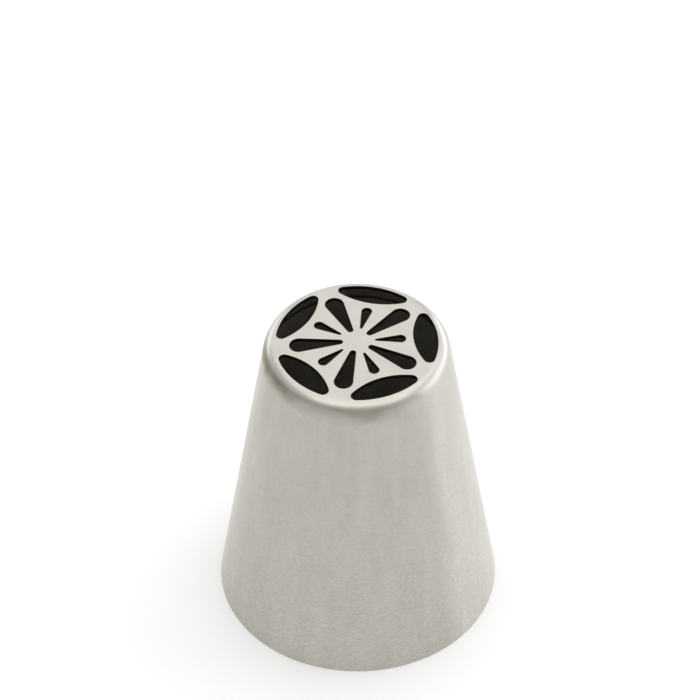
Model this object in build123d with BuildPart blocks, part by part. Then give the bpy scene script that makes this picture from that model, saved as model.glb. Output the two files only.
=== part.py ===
from build123d import *
from math import atan2, cos, pi, sin, tan
import os

# Piping nozzle, standing on its wide end, axis along +Z, origin at the centre of the base rim.
# All lengths are in millimetres.

# Overall form
height = 40.0           # base rim to the top of the crowned end face
base_radius = 17.2      # outside of the base rim
tip_radius = 11.04      # where the taper would meet the end face with no shoulder
sheet = 0.5             # both pressings are drawn from the same gauge

# End face
crown_rise = 0.28       # how far the face domes up from its corner to its centre
shoulder_radius = 2.0   # outside of the rounded edge between face and taper
skirt_length = 0.9      # straight taper that the face pressing keeps below its shoulder

# Joint between the two pressings
weld_width = 0.6        # band of weld metal, along the axis
weld_bead = 0.12        # how far the weld stands proud inside; outside it is ground flush

# Base rim
rim_edge_radius = 0.12  # deburred edges of the cut rim

# Slots in the end face, one set for each petal of the piped flower
petal_count = 5
rim_margin = 1.34       # metal from the rim slots out to the corner of the face
rim_slot_width = 2.87   # widest, on the slot's own centre line
rim_slot_inner_arc = 8.27
rim_slot_tip_radius = 0.63
petal_setback = 1.65    # from the rim slots' outer edge in to the petal slots' outer edge
petal_end_radius = 1.1
petal_point_radius = 0.335
petal_hub_radius = 1.7  # solid metal inside the petal slots' points
bud_web = 0.975         # metal between a rim slot and the bud slot inside it
bud_end_radius = 0.595
bud_point_radius = 0.105
bud_hub_radius = 2.22   # solid metal inside the bud slots' points

# Places that follow from those sizes
corner_height = height - crown_rise
taper = atan2(base_radius - tip_radius, corner_height)
crown_slope = 2 * atan2(crown_rise, tip_radius)
shoulder_angle = pi / 2 + taper + crown_slope
shoulder_run = shoulder_radius / tan(shoulder_angle / 2)
weld_top = corner_height - shoulder_run * cos(taper) - skirt_length
shell_top = weld_top - weld_width
wall = sheet / cos(taper)

rim_slot_radius = tip_radius - rim_margin
petal_end_place = rim_slot_radius - petal_setback - petal_end_radius
petal_point_place = petal_hub_radius + petal_point_radius
bud_end_place = rim_slot_radius - rim_slot_width - bud_web - bud_end_radius
bud_point_place = bud_hub_radius + bud_point_radius


def taper_radius(z):
    """Outside radius of the straight taper at a height above the base rim."""
    return base_radius - z * tan(taper)


def teardrop(point_place, point_radius, end_place, end_radius):
    """Slot outline that widens outwards along +X, with its point towards the axis."""
    with BuildSketch() as outline:
        with Locations((point_place, 0)):
            Circle(point_radius)
        with Locations((end_place, 0)):
            Circle(end_radius)
        make_hull()
    return outline.sketch


# Rim slot: a lens between an arc round the nozzle's axis and a tighter one facing it
with BuildSketch() as rim_slot:
    Circle(rim_slot_radius)
    with Locations((rim_slot_radius - rim_slot_width + rim_slot_inner_arc, 0)):
        Circle(rim_slot_inner_arc, mode=Mode.INTERSECT)
    fillet(rim_slot.vertices(), rim_slot_tip_radius)

petal_slot = teardrop(petal_point_place, petal_point_radius, petal_end_place, petal_end_radius)
bud_slot = teardrop(bud_point_place, bud_point_radius, bud_end_place, bud_end_radius)

# Tapered shell, from the cut base rim up to the weld
with BuildPart() as cone_shell:
    with BuildSketch(Plane.XZ):
        with BuildLine():
            Polyline(
                (base_radius, 0),
                (taper_radius(shell_top), shell_top),
                (taper_radius(shell_top) - wall, shell_top),
                (base_radius - wall, 0),
                close=True,
            )
        make_face()
    revolve(axis=Axis.Z)
    fillet(cone_shell.edges().group_by(Axis.Z)[0], rim_edge_radius)

# Ring of weld metal, flush outside and with a low bead inside
with BuildPart() as shoulder_weld:
    with BuildSketch(Plane.XZ):
        with BuildLine():
            outside = Line((taper_radius(shell_top), shell_top), (taper_radius(weld_top), weld_top))
            top = Line(outside @ 1, (taper_radius(weld_top) - wall, weld_top))
            bottom = Line(outside @ 0, (taper_radius(shell_top) - wall, shell_top))
            bead_middle = (outside @ 0.5).X - wall - weld_bead
            ThreePointArc(top @ 1, (bead_middle, (weld_top + shell_top) / 2), bottom @ 1)
        make_face()
    revolve(axis=Axis.Z)

# End pressing: crowned face, rounded shoulder and short skirt, with the slots cut through the face
with BuildPart() as flower_plate:
    with BuildSketch(Plane.XZ) as half_section:
        with BuildLine():
            crown = TangentArc((0, height), (tip_radius, corner_height), tangent=(1, 0))
            Polyline(crown @ 1, (taper_radius(weld_top), weld_top), (0, weld_top), crown @ 0)
        make_face()
        fillet(half_section.vertices().sort_by_distance(crown @ 1)[0], shoulder_radius)
    revolve(axis=Axis.Z)
    offset(amount=-sheet, openings=flower_plate.faces().sort_by(Axis.Z)[0])
    with BuildSketch(Plane.XY.offset(height)):
        with PolarLocations(0, petal_count):
            add(rim_slot.sketch)
            add(bud_slot)
        with PolarLocations(0, petal_count, start_angle=180 / petal_count):
            add(petal_slot)
    extrude(amount=weld_top - height, mode=Mode.SUBTRACT)

cone_shell.part.label = "cone_shell"
shoulder_weld.part.label = "shoulder_weld"
flower_plate.part.label = "flower_plate"

os.makedirs("parts", exist_ok=True)
export_step(cone_shell.part, "parts/cone_shell.step")
export_step(shoulder_weld.part, "parts/shoulder_weld.step")
export_step(flower_plate.part, "parts/flower_plate.step")
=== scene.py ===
# %% [markdown]
# # A stainless steel piping nozzle for whole flowers
# The nozzle is a thin steel cone that stands on its wide open end. Its narrow end is closed by a pressed
# plate with a rounded shoulder, and fifteen slots in that plate shape the icing. We load the measured
# model first, because every size and place below follows from it.

# %% Load the measured nozzle
from math import acos, atan, atan2, ceil, cos, hypot, pi, radians, sin, sqrt

import bmesh
import bpy
from mathutils import Matrix, Quaternion, Vector, geometry


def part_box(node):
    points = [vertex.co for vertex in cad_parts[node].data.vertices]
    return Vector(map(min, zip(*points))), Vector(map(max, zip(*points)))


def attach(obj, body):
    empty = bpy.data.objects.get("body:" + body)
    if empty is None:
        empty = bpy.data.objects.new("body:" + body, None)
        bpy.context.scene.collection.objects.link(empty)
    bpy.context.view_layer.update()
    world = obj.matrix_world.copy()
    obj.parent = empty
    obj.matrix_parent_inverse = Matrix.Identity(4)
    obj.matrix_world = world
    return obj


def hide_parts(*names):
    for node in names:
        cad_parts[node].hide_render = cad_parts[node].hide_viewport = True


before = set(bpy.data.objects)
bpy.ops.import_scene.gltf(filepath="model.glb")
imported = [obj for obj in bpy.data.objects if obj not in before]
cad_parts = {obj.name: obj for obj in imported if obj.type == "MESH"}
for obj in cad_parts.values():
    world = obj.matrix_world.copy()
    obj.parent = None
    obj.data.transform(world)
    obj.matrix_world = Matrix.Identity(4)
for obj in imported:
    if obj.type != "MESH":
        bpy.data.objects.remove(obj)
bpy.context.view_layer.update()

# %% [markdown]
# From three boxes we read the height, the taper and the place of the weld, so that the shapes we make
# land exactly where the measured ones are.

MM = 0.001
rim_round = 0.12 * MM

shell_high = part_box("cone_shell")[1]
weld_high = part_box("shoulder_weld")[1]
plate_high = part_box("flower_plate")[1]
height = plate_high.z
shell_top = shell_high.z
weld_top = weld_high.z
slope = (shell_high.x - weld_high.x) / (shell_top - rim_round)
taper = atan(slope)


def taper_radius(z):
    """Outside radius of the straight taper at a height."""
    return weld_high.x + (shell_top - z) * slope


print(f"height {height / MM:.2f} mm, base {2 * taper_radius(0) / MM:.2f} mm, half angle {taper:.4f} rad")

# %% [markdown]
# A part made by spinning needs only its half section. Both pressings are half a millimetre thick, and a
# spin of 256 steps keeps the outline round even in a close view.

# %% Choose the gauge and how finely things turn
sheet = 0.5 * MM
wall = sheet / cos(taper)
around = 256
sharp_angle = radians(40)
merge_distance = 0.0005 * MM
spin_step = 2 * pi * taper_radius(0) / around
print(f"wall {wall / MM:.3f} mm measured level, one step of a spin {spin_step / MM:.2f} mm")


def spin_section(points, closed=True):
    """Spins a half section of (radius, height) points round the axis into a closed skin."""
    bm = bmesh.new()
    verts = [bm.verts.new((radius, 0, z)) for radius, z in points]
    pairs = zip(verts, verts[1:] + verts[:1]) if closed else zip(verts, verts[1:])
    edges = [bm.edges.new(pair) for pair in pairs]
    bmesh.ops.spin(bm, geom=verts + edges, cent=(0, 0, 0), axis=(0, 0, 1), angle=2 * pi,
                   steps=around, use_merge=True)
    bmesh.ops.remove_doubles(bm, verts=bm.verts, dist=merge_distance)
    bmesh.ops.recalc_face_normals(bm, faces=bm.faces)
    return bm


# %% [markdown]
# Every piece ends the same way. Its faces are smooth, but a corner sharper than 40 degrees stays a
# corner, and weighted normals keep the big faces calm beside their narrow rounded edges, which is what
# makes polished metal reflect cleanly. Then the piece takes the place of its measured twin.

# %% A helper that finishes a piece
def finish_piece(name, bm, materials):
    """Turns a bmesh into the object that stands for the measured node of the same name."""
    open_edges = [edge for edge in bm.edges if not edge.is_manifold]
    for face in bm.faces:
        face.smooth = True
    for edge in bm.edges:
        edge.smooth = edge.calc_face_angle(0) < sharp_angle
    mesh = bpy.data.meshes.new(name)
    bm.to_mesh(mesh)
    bm.free()
    piece = bpy.data.objects.new(name + "_steel", mesh)
    bpy.context.scene.collection.objects.link(piece)
    for material in materials:
        mesh.materials.append(material)
    weighted = piece.modifiers.new("calm normals", "WEIGHTED_NORMAL")
    weighted.keep_sharp = True
    bpy.context.view_layer.update()
    evaluated = piece.evaluated_get(bpy.context.evaluated_depsgraph_get())
    piece.data = bpy.data.meshes.new_from_object(evaluated)
    piece.modifiers.clear()
    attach(piece, "root")
    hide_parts(name)
    print(f"{piece.name}: {len(piece.data.polygons)} faces, {len(open_edges)} open edges")
    return piece


# %% [markdown]
# ## Materials
# Stainless steel is a metal, so its colour is in its reflections. What tells one finish from another is
# the grain: how rough it is, and which way it runs. Colours are picked as on a screen and turned to
# linear light once, here. A second helper adds any node with its settings and links.

# %% Colour and node helpers
def srgb(code):
    """Linear RGBA for a hex colour as seen on a screen."""
    shares = [int(code[i:i + 2], 16) / 255 for i in (1, 3, 5)]
    return [s / 12.92 if s <= 0.04045 else ((s + 0.055) / 1.055) ** 2.4 for s in shares] + [1.0]


def node(tree, kind, inputs=None, **settings):
    """Adds a node. Settings are its own properties; an input takes a value or another node's output."""
    made = tree.nodes.new(kind)
    for name, value in settings.items():
        setattr(made, name, value)
    for name, value in (inputs or {}).items():
        if isinstance(value, bpy.types.NodeSocket):
            tree.links.new(value, made.inputs[name])
        else:
            made.inputs[name].default_value = value
    return made


def new_material(name):
    """An empty material with its output, ready for nodes."""
    material = bpy.data.materials.new(name)
    material.use_nodes = True
    tree = material.node_tree
    tree.nodes.clear()
    return material, tree, node(tree, "ShaderNodeOutputMaterial")


def stretched_noise(tree, scale, detail=3.0, roughness=0.55):
    """Noise on the piece's own coordinates, with a scale for each axis in features per metre."""
    place = node(tree, "ShaderNodeTexCoord")
    mapping = node(tree, "ShaderNodeMapping", {"Vector": place.outputs["Object"], "Scale": scale})
    noise = node(tree, "ShaderNodeTexNoise", {"Vector": mapping.outputs[0], "Scale": 1.0, "Detail": detail,
                                              "Roughness": roughness})
    return noise.outputs["Fac"]


def spread(tree, value, low, high, source_low=0.3, source_high=0.7, kind="LINEAR"):
    """Maps a value from one range to another. The usual source is noise, which lies mostly near 0.5."""
    mapped = node(tree, "ShaderNodeMapRange", {"Value": value, "To Min": low, "To Max": high},
                  interpolation_type=kind)
    mapped.inputs["From Min"].default_value = source_low
    mapped.inputs["From Max"].default_value = source_high
    return mapped.outputs[0]


def combined(tree, operation, first, second):
    """Two values put together by a sum, a product or the like."""
    return node(tree, "ShaderNodeMath", {0: first, 1: second}, operation=operation).outputs[0]


def tinted(tree, factor, code_a, code_b):
    """A colour between two hex colours, by a factor."""
    mix = node(tree, "ShaderNodeMix", {"Factor": factor}, data_type="RGBA")
    mix.inputs["A"].default_value = srgb(code_a)
    mix.inputs["B"].default_value = srgb(code_b)
    return mix.outputs["Result"]


# %% [markdown]
# Both finishes meet on the shoulder, where the belt stops and the polishing wheel starts. Below the bright
# rim the colour is painted a dull brown-grey: painted shade for the dark reflection that the lower shoulder
# shows, in a band with a wandering edge and lighter patches. The painted shade is strongest toward the
# front left, fades out round the nozzle and is thinner at one place in front. One function gives it to any
# material: 0 on clean steel, about 1 in the middle of the band.

# %% The painted shade band under the shoulder
band_low = 36.8 * MM
band_dark = 38.9 * MM
band_high = 39.45 * MM
blotch_size = 1.6 * MM
patch_width = 4.0 * MM
patch_height = 2.94 * MM
band_wander = 0.3 * MM
shade_heading = radians(-135)
band_out_share, band_full_share = 0.2, 0.8
shade_gap_heading = radians(-118)
gap_start_share, gap_full_share = 0.93, 0.985
shade_gap_level = 0.35
patch_weak, patch_strong = 0.58, 1.15
# Painted shade: the brown-grey that the band darkens the lower shoulder to.
painted_shade_brown = "#8e8878"
band_radius = taper_radius(band_dark)
print(f"painted shade band from {band_low / MM:.1f} to {band_high / MM:.1f} mm, radius {band_radius / MM:.2f} mm")


def toward(tree, place, angle):
    """How far a point lies from the axis towards one heading."""
    heading = (cos(angle), sin(angle), 0)
    dot = node(tree, "ShaderNodeVectorMath", {0: place, 1: heading}, operation="DOT_PRODUCT")
    return dot.outputs["Value"]


def painted_shade_band(tree):
    """How much of the painted shade band is at a point, by height, with a lower edge that wanders."""
    place = node(tree, "ShaderNodeTexCoord").outputs["Object"]
    split = node(tree, "ShaderNodeSeparateXYZ", {"Vector": place})
    wander = spread(tree, stretched_noise(tree, (1 / blotch_size,) * 3), -band_wander, band_wander)
    level = combined(tree, "ADD", split.outputs["Z"], wander)
    rise = spread(tree, level, 0, 1, band_low, band_dark, kind="SMOOTHSTEP")
    fall = spread(tree, split.outputs["Z"], 0, 1, band_high, band_dark, kind="SMOOTHSTEP")
    band = combined(tree, "MULTIPLY", rise, fall)
    # The painted shade is kept toward the front left and fades out round the nozzle.
    one_side = spread(tree, toward(tree, place, shade_heading), 0, 1, band_out_share * band_radius,
                      band_full_share * band_radius, kind="SMOOTHSTEP")
    # The painted shade is thinner at one place in front.
    thinned = spread(tree, toward(tree, place, shade_gap_heading), 1, shade_gap_level, gap_start_share * band_radius,
                     gap_full_share * band_radius, kind="SMOOTHSTEP")
    patch_scale = 1 / patch_width, 1 / patch_width, 1 / patch_height
    patches = spread(tree, stretched_noise(tree, patch_scale, detail=1.0), patch_weak, patch_strong)
    kept = combined(tree, "MULTIPLY", one_side, thinned)
    return combined(tree, "MULTIPLY", band, combined(tree, "MULTIPLY", kept, patches))


def with_painted_shade(tree, clean):
    """A clean colour that turns to the painted brown-grey shade of the band."""
    mix = node(tree, "ShaderNodeMix", {"Factor": painted_shade_band(tree)}, data_type="RGBA")
    tree.links.new(clean, mix.inputs["A"])
    mix.inputs["B"].default_value = srgb(painted_shade_brown)
    return mix.outputs["Result"]


# %% [markdown]
# The cone is brushed while it turns, so its grain runs round the axis. The grain is noise squeezed along
# the axis and stretched round it. Real scratches are about 0.05 mm wide, too fine for this view, so they
# are drawn 0.18 mm wide and 0.5 mm long. They are stronger near the base, where the belt pressed harder.
# Broad upright marks from drawing the sheet over its former show faintly through them. Grain that runs
# round the cone spreads every reflection up and down: the shader's anisotropy does that, turned a quarter
# from the grain.

# %% Brushed stainless steel, for the cone, the weld and the skirt of the plate
scratch_width = 0.18 * MM
scratch_length = 0.5 * MM
draw_width = 2.0 * MM
draw_length = 20.0 * MM
draw_dark, draw_light = 0.39, 0.61
press_at_base, press_at_top = 0.75, 0.2
brushed_roughness = 0.42
scratch_roughness = 0.05
scratch_bump = 0.2
grain_relief = 0.01 * MM


def brushed_steel(name, blotch_strength):
    """Steel with grain that runs round the axis, fine upright marks and blotches as strong as asked."""
    material, tree, output = new_material(name)
    fine = 1 / scratch_length, 1 / scratch_length, 1 / scratch_width
    broad = 1 / draw_width, 1 / draw_width, 1 / draw_length
    scratches = stretched_noise(tree, fine, detail=2.0)
    drawing = stretched_noise(tree, broad, detail=2.0)
    blotches = stretched_noise(tree, (1 / blotch_size,) * 3)
    place = node(tree, "ShaderNodeTexCoord").outputs["Object"]
    split = node(tree, "ShaderNodeSeparateXYZ", {"Vector": place})
    pressure = spread(tree, split.outputs["Z"], press_at_base, press_at_top, 0, shell_top)
    depth = combined(tree, "MULTIPLY", spread(tree, scratches, -0.5, 0.5), pressure)
    marks = combined(tree, "ADD", spread(tree, drawing, draw_dark, draw_light),
                     spread(tree, blotches, -blotch_strength, blotch_strength))
    shade = combined(tree, "ADD", depth, marks)
    # The colour takes the painted shade band under the shoulder.
    colour = with_painted_shade(tree, tinted(tree, shade, "#b5b2aa", "#d4d1c9"))
    rougher = combined(tree, "MULTIPLY", depth, scratch_roughness)
    roughness = combined(tree, "ADD", rougher, brushed_roughness)
    push = combined(tree, "MULTIPLY", pressure, scratch_bump)
    bump = node(tree, "ShaderNodeBump", {"Height": scratches, "Strength": push, "Distance": grain_relief})
    turn = node(tree, "ShaderNodeTangent", direction_type="RADIAL", axis="Z")
    shader = node(tree, "ShaderNodeBsdfPrincipled", {
        "Base Color": colour, "Metallic": 1.0, "Roughness": roughness, "Anisotropic": 0.9,
        "Anisotropic Rotation": 0.25, "Tangent": turn.outputs[0], "Normal": bump.outputs[0]})
    tree.links.new(shader.outputs[0], output.inputs["Surface"])
    return material


# %% [markdown]
# The end plate is polished with a soft wheel, which leaves an even satin with no direction: fine grain in
# the roughness, and faint clouds in the colour.

# %% Satin stainless steel, for the end plate
satin_grain = 0.16 * MM
satin_smooth, satin_rough = 0.28, 0.32
satin_bump = 0.03
cloud_size = 2.0 * MM


def satin_stainless():
    """Evenly polished steel with a fine grain and faint clouds."""
    material, tree, output = new_material("satin stainless steel")
    grain = stretched_noise(tree, (1 / satin_grain,) * 3, detail=2.0)
    clouds = stretched_noise(tree, (1 / cloud_size,) * 3)
    # The colour takes the painted shade band under the shoulder.
    colour = with_painted_shade(tree, tinted(tree, spread(tree, clouds, 0.0, 1.0), "#bfbcb4", "#c6c3bb"))
    bump = node(tree, "ShaderNodeBump", {"Height": grain, "Strength": satin_bump, "Distance": grain_relief})
    shader = node(tree, "ShaderNodeBsdfPrincipled", {
        "Base Color": colour, "Metallic": 1.0, "Roughness": spread(tree, grain, satin_smooth, satin_rough),
        "Normal": bump.outputs[0]})
    tree.links.new(shader.outputs[0], output.inputs["Surface"])
    return material


# %% [markdown]
# The weld is ground flush and brushed over with the cone, so only its blotches tell it from the steel
# round it. Inside, its bead keeps the dark stain of the heat. The slot walls are cut with a hot beam,
# which leaves them dull; their near-black colour is painted shade, so the slots look as dark as the shaded
# inside. The rest of the inside is never polished: it keeps the grey skin of the sheet.

# %% Ground weld, cut slot walls and the unpolished inside
skin_relief = 0.02 * MM


def plain_metal(name, dark, light, size, rough_low, rough_high, bump_strength):
    """A metal with blotches of one size in its colour and roughness."""
    material, tree, output = new_material(name)
    blotches = stretched_noise(tree, (1 / size,) * 3)
    colour = tinted(tree, spread(tree, blotches, 0.0, 1.0), dark, light)
    bump = node(tree, "ShaderNodeBump", {"Height": blotches, "Strength": bump_strength,
                                         "Distance": skin_relief})
    shader = node(tree, "ShaderNodeBsdfPrincipled", {
        "Base Color": colour, "Metallic": 1.0, "Roughness": spread(tree, blotches, rough_low, rough_high),
        "Normal": bump.outputs[0]})
    tree.links.new(shader.outputs[0], output.inputs["Surface"])
    return material


brushed = brushed_steel("brushed stainless steel", 0.04)
weld_skin = brushed_steel("ground and brushed stainless weld", 0.25)
satin = satin_stainless()
bead_skin = plain_metal("heat-stained weld bead", "#4a433a", "#6b6257", 0.8 * MM, 0.6, 0.75, 0.2)
# Painted shade: the slot walls are coloured near-black to look as dark as the shade inside the slots.
cut_wall_painted_shade = plain_metal("cut steel painted dark as shade", "#2a2622", "#3c3631", 0.3 * MM, 0.55, 0.7, 0.3)
inside_skin = plain_metal("unpolished sheet steel", "#a8a39b", "#b4afa7", 2.5 * MM, 0.65, 0.75, 0.1)
print("metals:", ", ".join(metal.name for metal in bpy.data.materials))

# %% [markdown]
# ## The tapered shell
# A closed half section, four corners only, spun once. The cut base rim is then deburred with a small
# bevel, which catches a fine line of light where it meets the table.

# %% Spin the shell
def mark_inside(bm):
    """Gives the faces that look at the axis the second material."""
    for face in bm.faces:
        centre = face.calc_center_median()
        outward = Vector((centre.x, centre.y, 0)).normalized()
        face.material_index = 1 if face.normal.dot(outward) < -0.5 else 0


rim_steps = 4
shell = spin_section([
    (taper_radius(0), 0),
    (taper_radius(shell_top), shell_top),
    (taper_radius(shell_top) - wall, shell_top),
    (taper_radius(0) - wall, 0),
])
rim_edges = [edge for edge in shell.edges if max(vert.co.z for vert in edge.verts) < rim_round / 2]
rim_edges = [edge for edge in rim_edges if edge.calc_face_angle(0) > sharp_angle]
bmesh.ops.bevel(shell, geom=rim_edges, offset=rim_round, offset_type="OFFSET", segments=rim_steps,
                profile=0.5, affect="EDGES", material=-1)
mark_inside(shell)
finish_piece("cone_shell", shell, [brushed, inside_skin])

# %% [markdown]
# ## The weld
# Its outside is flush with the taper. Inside it stands a little proud, with the low ripples that the pool
# of metal leaves as it goes round.

# %% Spin the weld and ripple its bead
bead = 0.12 * MM
bead_steps = 6
ripples = 60
ripple_share = 0.25

weld_middle = (shell_top + weld_top) / 2
weld_half = (weld_top - shell_top) / 2
section = [(taper_radius(shell_top), shell_top), (taper_radius(weld_top), weld_top)]
for step in range(bead_steps + 1):
    turn = pi * step / bead_steps
    z = weld_middle + weld_half * cos(turn)
    section.append((taper_radius(z) - wall - bead * sin(turn), z))
weld = spin_section(section)
for vert in weld.verts:
    radius = hypot(vert.co.x, vert.co.y)
    proud = taper_radius(vert.co.z) - wall - radius
    if proud > bead / 4:
        ripple = 1 + ripple_share * sin(ripples * atan2(vert.co.y, vert.co.x)) * proud / radius
        bmesh.ops.scale(weld, vec=(ripple, ripple, 1), verts=[vert])
mark_inside(weld)
finish_piece("shoulder_weld", weld, [weld_skin, bead_skin])

# %% [markdown]
# ## The end plate
# The plate is a very shallow dome that rolls over a 2 mm shoulder into the taper. We find the centre of
# the shoulder arc as a designer would with a compass: it lies 2 mm inside the taper line and 2 mm inside
# the dome.

# %% Work out the dome and the shoulder
crown_rise = 0.28 * MM
shoulder = 2.0 * MM

corner_height = height - crown_rise
corner_radius = taper_radius(corner_height)
dome = (corner_radius ** 2 + crown_rise ** 2) / (2 * crown_rise)
dome_centre = Vector((0, height - dome))
inset = shoulder / cos(taper)
line_low = Vector((taper_radius(weld_top) - inset, weld_top))
line_high = Vector((taper_radius(height) - inset, height))
hits = geometry.intersect_line_sphere_2d(line_low, line_high, dome_centre, dome - shoulder, True)
shoulder_centre = next(hit for hit in hits if hit is not None)


def skin_height(radius, depth):
    """Height over a radius, at a depth under the outside skin of the dome and the upper shoulder."""
    if radius < shoulder_centre.x * (dome - depth) / (dome - shoulder):
        return dome_centre.y + sqrt((dome - depth) ** 2 - radius ** 2)
    return shoulder_centre.y + sqrt((shoulder - depth) ** 2 - (radius - shoulder_centre.x) ** 2)


print(f"shoulder centre at radius {shoulder_centre.x / MM:.3f} mm, height {shoulder_centre.y / MM:.3f} mm")

# %% [markdown]
# ## The slots
# Each outline is a chain of arcs: four for a lens, two and their tangent lines for a teardrop. A chain
# keeps its centres when it grows, so the same function gives the slot and the rounded lip round it.

# %% Describe the three slots as chains of arcs
petals = 5
rim_margin = 1.34 * MM
rim_slot_radius = corner_radius - rim_margin
rim_slot_width = 2.87 * MM
rim_inner_arc = 8.27 * MM
rim_tip = 0.63 * MM
petal_end, petal_point = 1.1 * MM, 0.335 * MM
petal_hub = 1.7 * MM
petal_setback = 1.65 * MM
bud_end, bud_point = 0.595 * MM, 0.105 * MM
bud_hub = 2.22 * MM
bud_web = 0.975 * MM


def lens_arcs():
    """Arc round the axis, tip, arc facing it, tip: each is (centre, radius, start, turn)."""
    inner_centre = rim_slot_radius - rim_slot_width + rim_inner_arc
    outer, inner = rim_slot_radius - rim_tip, rim_inner_arc - rim_tip
    x = (inner_centre ** 2 + outer ** 2 - inner ** 2) / (2 * inner_centre)
    y = sqrt(outer ** 2 - x ** 2)
    out_angle, in_angle = atan2(y, x), atan2(y, inner_centre - x)
    tip_turn = pi - in_angle - out_angle
    return [
        ((0, 0), rim_slot_radius, -out_angle, 2 * out_angle),
        ((x, y), rim_tip, out_angle, tip_turn),
        ((inner_centre, 0), rim_inner_arc, pi - in_angle, 2 * in_angle),
        ((x, -y), rim_tip, pi + in_angle, tip_turn),
    ]


def teardrop_arcs(point_place, point_radius, end_place, end_radius):
    """The wide end, then the point, whose tangent lines come from joining the two arcs."""
    lean = acos((point_radius - end_radius) / (end_place - point_place))
    return [
        ((end_place, 0), end_radius, -lean, 2 * lean),
        ((point_place, 0), point_radius, lean, 2 * pi - 2 * lean),
    ]


petal_arcs = teardrop_arcs(petal_hub + petal_point, petal_point,
                           rim_slot_radius - petal_setback - petal_end, petal_end)
bud_arcs = teardrop_arcs(bud_hub + bud_point, bud_point,
                         rim_slot_radius - rim_slot_width - bud_web - bud_end, bud_end)

# %% [markdown]
# A slot's wall is built as rings: the lip rolls from the face into the slot, the wall drops straight
# down, and the lower lip rolls out again. Each arc is one vertex spun about its centre, and neighbouring
# rings are bridged. Spinning the finished slot with copies gives all five.

# %% Build the walls of the slots
lip = 0.06 * MM
lip_steps = 4
arc_step = 0.12 * MM
least_arc_steps = 6


def edges_at(bm, z):
    """The edges that lie at one height."""
    return [edge for edge in bm.edges if all(abs(vert.co.z - z) < merge_distance for vert in edge.verts)]


def outline(bm, arcs, grow, z):
    """One closed ring of edges along a chain of arcs, at one height."""
    ends = []
    for (x, y), radius, start, sweep in arcs:
        steps = max(least_arc_steps, ceil(sweep * radius / arc_step))
        size = radius + grow
        vert = bm.verts.new((x + size * cos(start), y + size * sin(start), z))
        spun = bmesh.ops.spin(bm, geom=[vert], cent=(x, y, z), axis=(0, 0, 1), angle=sweep, steps=steps)
        last = [item for item in spun["geom_last"] if isinstance(item, bmesh.types.BMVert)][0]
        ends.append((vert, last))
    for (_, leave), (arrive, _) in zip(ends, ends[1:] + ends[:1]):
        bm.edges.new((leave, arrive))
    level = [vert for vert in bm.verts if abs(vert.co.z - z) < merge_distance]
    bmesh.ops.remove_doubles(bm, verts=level, dist=merge_distance)


def slot_wall(arcs, turn):
    """A slot's wall with both lips, copied five times round the axis."""
    bm = bmesh.new()
    levels = []
    for step in range(lip_steps + 1):
        bend = pi / 2 * step / lip_steps
        levels.append((lip * (1 - sin(bend)), -lip * (1 - cos(bend))))
    levels += [(grow, -sheet - z) for grow, z in reversed(levels)]
    for grow, z in levels:
        outline(bm, arcs, grow, z)
    rings = [edges_at(bm, z) for grow, z in levels]
    for upper, lower in zip(rings, rings[1:]):
        bmesh.ops.bridge_loops(bm, edges=upper + lower)
    bmesh.ops.rotate(bm, cent=(0, 0, 0), matrix=Matrix.Rotation(turn, 3, "Z"), verts=bm.verts)
    bmesh.ops.spin(bm, geom=bm.verts[:] + bm.edges[:] + bm.faces[:], cent=(0, 0, 0), axis=(0, 0, 1),
                   angle=2 * pi * (petals - 1) / petals, steps=petals - 1, use_duplicate=True)
    print(f"slot wall: {len(bm.verts)} points, {len(rings[0])} round one lip")
    made = bpy.data.meshes.new("slot wall")
    bm.to_mesh(made)
    bm.free()
    return made


slot_walls = [slot_wall(lens_arcs(), 0), slot_wall(petal_arcs, pi / petals), slot_wall(bud_arcs, 0)]

# %% [markdown]
# The top and bottom skins fill the space between the slots' lips and a circle out on the shoulder. The
# fill makes long thin triangles, so a grid of cuts follows, 0.6 mm apart, to let the flat skin bend when
# every point is lifted to the height of the dome. Then the edge is pulled on ring by ring: down the
# outside of the shoulder, across the foot of the skirt and up the inside, back to the underside of the
# face. The belt that brushed the cone also reached the lower part of the shoulder, so those rings take
# the brushed steel.

# %% Fill the face, lift it to the dome and pull out the shoulder
face_radius = 10.0 * MM
cut_pitch = 0.6 * MM
cut_snap = 0.02 * MM
shoulder_steps = 16
rim_share = 0.99
belt_top = 38.8 * MM

plate = bmesh.new()
for made in slot_walls:
    plate.from_mesh(made)
for face in plate.faces:
    face.material_index = 1


def ring_at(bm, z):
    """The open edges that lie at one height."""
    return [edge for edge in edges_at(bm, z) if len(edge.link_faces) < 2]


for z in (0, -sheet):
    circle = bmesh.ops.create_circle(plate, segments=around, radius=face_radius)
    bmesh.ops.translate(plate, vec=(0, 0, z), verts=circle["verts"])
    filled = bmesh.ops.triangle_fill(plate, edges=ring_at(plate, z), use_beauty=True, normal=(0, 0, 1))
    for item in filled["geom"]:
        if isinstance(item, bmesh.types.BMFace):
            item.material_index = 0 if z == 0 else 2

cuts = int(face_radius / cut_pitch)
for axis in (Vector((1, 0, 0)), Vector((0, 1, 0))):
    for count in range(-cuts, cuts + 1):
        bmesh.ops.bisect_plane(plate, geom=plate.verts[:] + plate.edges[:] + plate.faces[:], dist=cut_snap,
                               plane_co=axis * count * cut_pitch, plane_no=axis)

rim = [edge for edge in ring_at(plate, 0)
       if min(hypot(vert.co.x, vert.co.y) for vert in edge.verts) > face_radius * rim_share]
for vert in plate.verts:
    vert.co.z = skin_height(hypot(vert.co.x, vert.co.y), -vert.co.z)


def shoulder_section(size):
    """Points down a shoulder arc of one radius, from the edge of the face to the taper."""
    start = acos((face_radius - shoulder_centre.x) / size)
    leans = [start + (taper - start) * step / shoulder_steps for step in range(shoulder_steps + 1)]
    return [(shoulder_centre.x + size * cos(lean), shoulder_centre.y + size * sin(lean)) for lean in leans]


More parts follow.
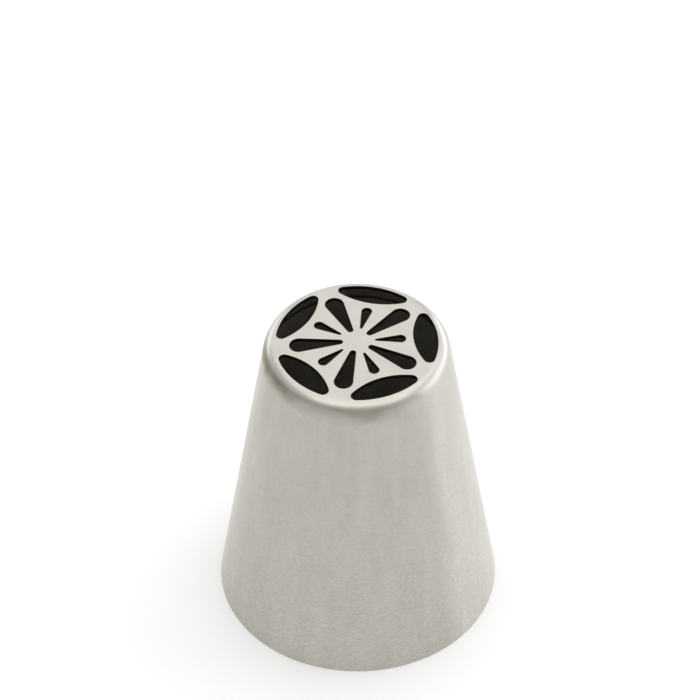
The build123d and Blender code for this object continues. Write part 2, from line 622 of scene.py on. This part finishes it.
outside = shoulder_section(shoulder)
inside = shoulder_section(shoulder - sheet)
foot = [(taper_radius(weld_top), weld_top), (taper_radius(weld_top) - wall, weld_top)]
section = outside + foot + inside[::-1]
for (radius, z), (next_radius, next_z) in zip(section, section[1:]):
    grown = bmesh.ops.extrude_edge_only(plate, edges=rim)["geom"]
    verts = [item for item in grown if isinstance(item, bmesh.types.BMVert)]
    rim = [item for item in grown if isinstance(item, bmesh.types.BMEdge)]
    share = next_radius / radius
    bmesh.ops.scale(plate, vec=(share, share, 1), verts=verts)
    bmesh.ops.translate(plate, vec=(0, 0, next_z - z), verts=verts)
    index = 2
    if (next_radius, next_z) in outside + foot[:1]:
        index = 0 if next_z > belt_top else 3
    for item in grown:
        if isinstance(item, bmesh.types.BMFace):
            item.material_index = index
bmesh.ops.remove_doubles(plate, verts=plate.verts, dist=merge_distance)
bmesh.ops.recalc_face_normals(plate, faces=plate.faces)
finish_piece("flower_plate", plate, [satin, cut_wall_painted_shade, inside_skin, brushed])

# %% [markdown]
# ## Studio
# The nozzle stands on a sheet of plain white paper, small enough to keep the scene compact.

# %% Lay the paper
table_half = 0.35

bm = bmesh.new()
bmesh.ops.create_grid(bm, x_segments=1, y_segments=1, size=table_half)
table_mesh = bpy.data.meshes.new("table")
bm.to_mesh(table_mesh)
bm.free()
table = bpy.data.objects.new("table", table_mesh)
bpy.context.scene.collection.objects.link(table)

# %% [markdown]
# The paper is solid from above and clear from below: a path that has passed through it once meets it no
# more, so a view from underneath shows the nozzle as if it were held up. Seen from above, the paper fades
# with distance into the white of the room, which hides its edge and keeps the shadow round the foot.

# %% Make the paper
fade_near = 0.1
fade_far = 0.3

material, tree, output = new_material("white paper")
paper = node(tree, "ShaderNodeBsdfDiffuse", {"Color": srgb("#fdfdfc")})
clear = node(tree, "ShaderNodeBsdfTransparent")
side = node(tree, "ShaderNodeNewGeometry")
path = node(tree, "ShaderNodeLightPath")
reach = node(tree, "ShaderNodeVectorMath", {0: side.outputs["Position"]}, operation="LENGTH")
far = spread(tree, reach.outputs["Value"], 0, 1, fade_near, fade_far, kind="SMOOTHSTEP")
faded = combined(tree, "MULTIPLY", far, path.outputs["Is Camera Ray"])
from_below = combined(tree, "ADD", side.outputs["Backfacing"], path.outputs["Transparent Depth"])
gone = combined(tree, "MINIMUM", combined(tree, "MAXIMUM", faded, from_below), 1.0)
both = node(tree, "ShaderNodeMixShader", {0: gone, 1: paper.outputs[0], 2: clear.outputs[0]})
tree.links.new(both.outputs[0], output.inputs["Surface"])
table_mesh.materials.append(material)
print(f"paper {2 * table_half:.2f} m across, fading from {fade_near:.2f} m to {fade_far:.2f} m")

# %% [markdown]
# Metal shows what is round it, so the lights are broad, soft panels at one distance from the nozzle. Two
# overhead give the rounded shoulder its bright rim. A high one behind fills the flat face, and low ones
# behind draw the pale edges of the cone. The right side is lit from low to high, which keeps its shoulder
# bright. There is no panel at the front and the left, so the near shoulder darkens toward the cone and
# the front of the cone is a calm grey.

# %% Hang the light panels
panel_reach = 0.9
behind = 85


def light_panel(name, heading, rise, width, tall, brightness, code):
    """A soft panel that faces the nozzle. Paper that faces a room of brightness 1 would look white."""
    lamp = bpy.data.lights.new(name, "AREA")
    lamp.shape = "RECTANGLE"
    lamp.size = width
    lamp.size_y = tall
    lamp.energy = brightness * pi * width * tall
    lamp.color = srgb(code)[:3]
    light = bpy.data.objects.new(name, lamp)
    turn = radians(heading)
    lift = radians(rise)
    aside = Vector((cos(turn) * cos(lift), sin(turn) * cos(lift), sin(lift)))
    light.location = Vector((0, 0, height / 2)) + aside * panel_reach
    light.rotation_mode = "QUATERNION"
    light.rotation_quaternion = (-aside).to_track_quat("-Z", "Y")
    light.visible_camera = False
    bpy.context.scene.collection.objects.link(light)
    print(f"{name}: {lamp.energy:.2f} W")


light_panel("overhead", behind, 76, 1.5, 0.5, 0.67, "#ffffff")
light_panel("past overhead", behind, 106, 1.3, 0.45, 0.87, "#ffffff")
light_panel("high behind", behind, 43, 1.5, 0.55, 0.55, "#ffffff")
light_panel("low behind", behind, 14, 0.5, 0.25, 0.9, "#eaf1ff")
light_panel("left behind", behind + 38, 9, 0.5, 0.25, 1.6, "#eaf1ff")
light_panel("right behind", behind - 40, 9, 0.5, 0.25, 2.7, "#eaf1ff")
light_panel("right", behind - 79, 15, 0.75, 0.55, 1.25, "#f4f8ff")
light_panel("high right", behind - 75, 45, 0.8, 0.5, 0.37, "#f8fbff")

# %% [markdown]
# The room itself gives a little more than two thirds of the light that would make the paper white, from
# all sides. Only the camera sees it as pure white, so the background is white without any stronger light.

# %% Light the room
room_brightness = 0.69

world = bpy.data.worlds.new("studio room")
bpy.context.scene.world = world
world.use_nodes = True
tree = world.node_tree
tree.nodes.clear()
path = node(tree, "ShaderNodeLightPath")
strength = spread(tree, path.outputs["Is Camera Ray"], room_brightness, 1.0, 0, 1)
room = node(tree, "ShaderNodeBackground", {"Color": srgb("#ffffff"), "Strength": strength})
node(tree, "ShaderNodeOutputWorld", {"Surface": room.outputs[0]})
print(f"{len(bpy.data.lights)} panels, room at {room_brightness}")

# %% [markdown]
# ## Camera
# The photograph looks down at the nozzle from about 44 degrees with a long lens, a little to the left of
# the middle of one slot. The aim point is above the middle of the nozzle, which puts it low in the frame.

# %% Place the camera
lens_length = 224.5
sensor_width = 36.0
camera_azimuth = radians(-94.68)
camera_reach = 372.3 * MM
camera_height = 403.9 * MM
aim_height = 38.48 * MM
aim_sideways = -0.82 * MM
camera_roll = radians(-0.37)

away = Vector((cos(camera_azimuth), sin(camera_azimuth), 0))
right = Vector((-sin(camera_azimuth), cos(camera_azimuth), 0))
camera_place = away * camera_reach + Vector((0, 0, camera_height))
aim = right * aim_sideways + Vector((0, 0, aim_height))
lens = bpy.data.cameras.new("camera")
lens.lens = lens_length
lens.sensor_width = sensor_width
lens.clip_start = 0.01
lens.clip_end = 20.0
camera = bpy.data.objects.new("camera", lens)
camera.location = camera_place
camera.rotation_mode = "QUATERNION"
level_view = (aim - camera_place).to_track_quat("-Z", "Y")
camera.rotation_quaternion = level_view @ Quaternion((0, 0, 1), camera_roll)
bpy.context.scene.collection.objects.link(camera)
bpy.context.scene.camera = camera
bpy.context.scene.view_settings.view_transform = "Standard"
print(f"camera {(camera_place - aim).length / MM:.0f} mm from the point it aims at")
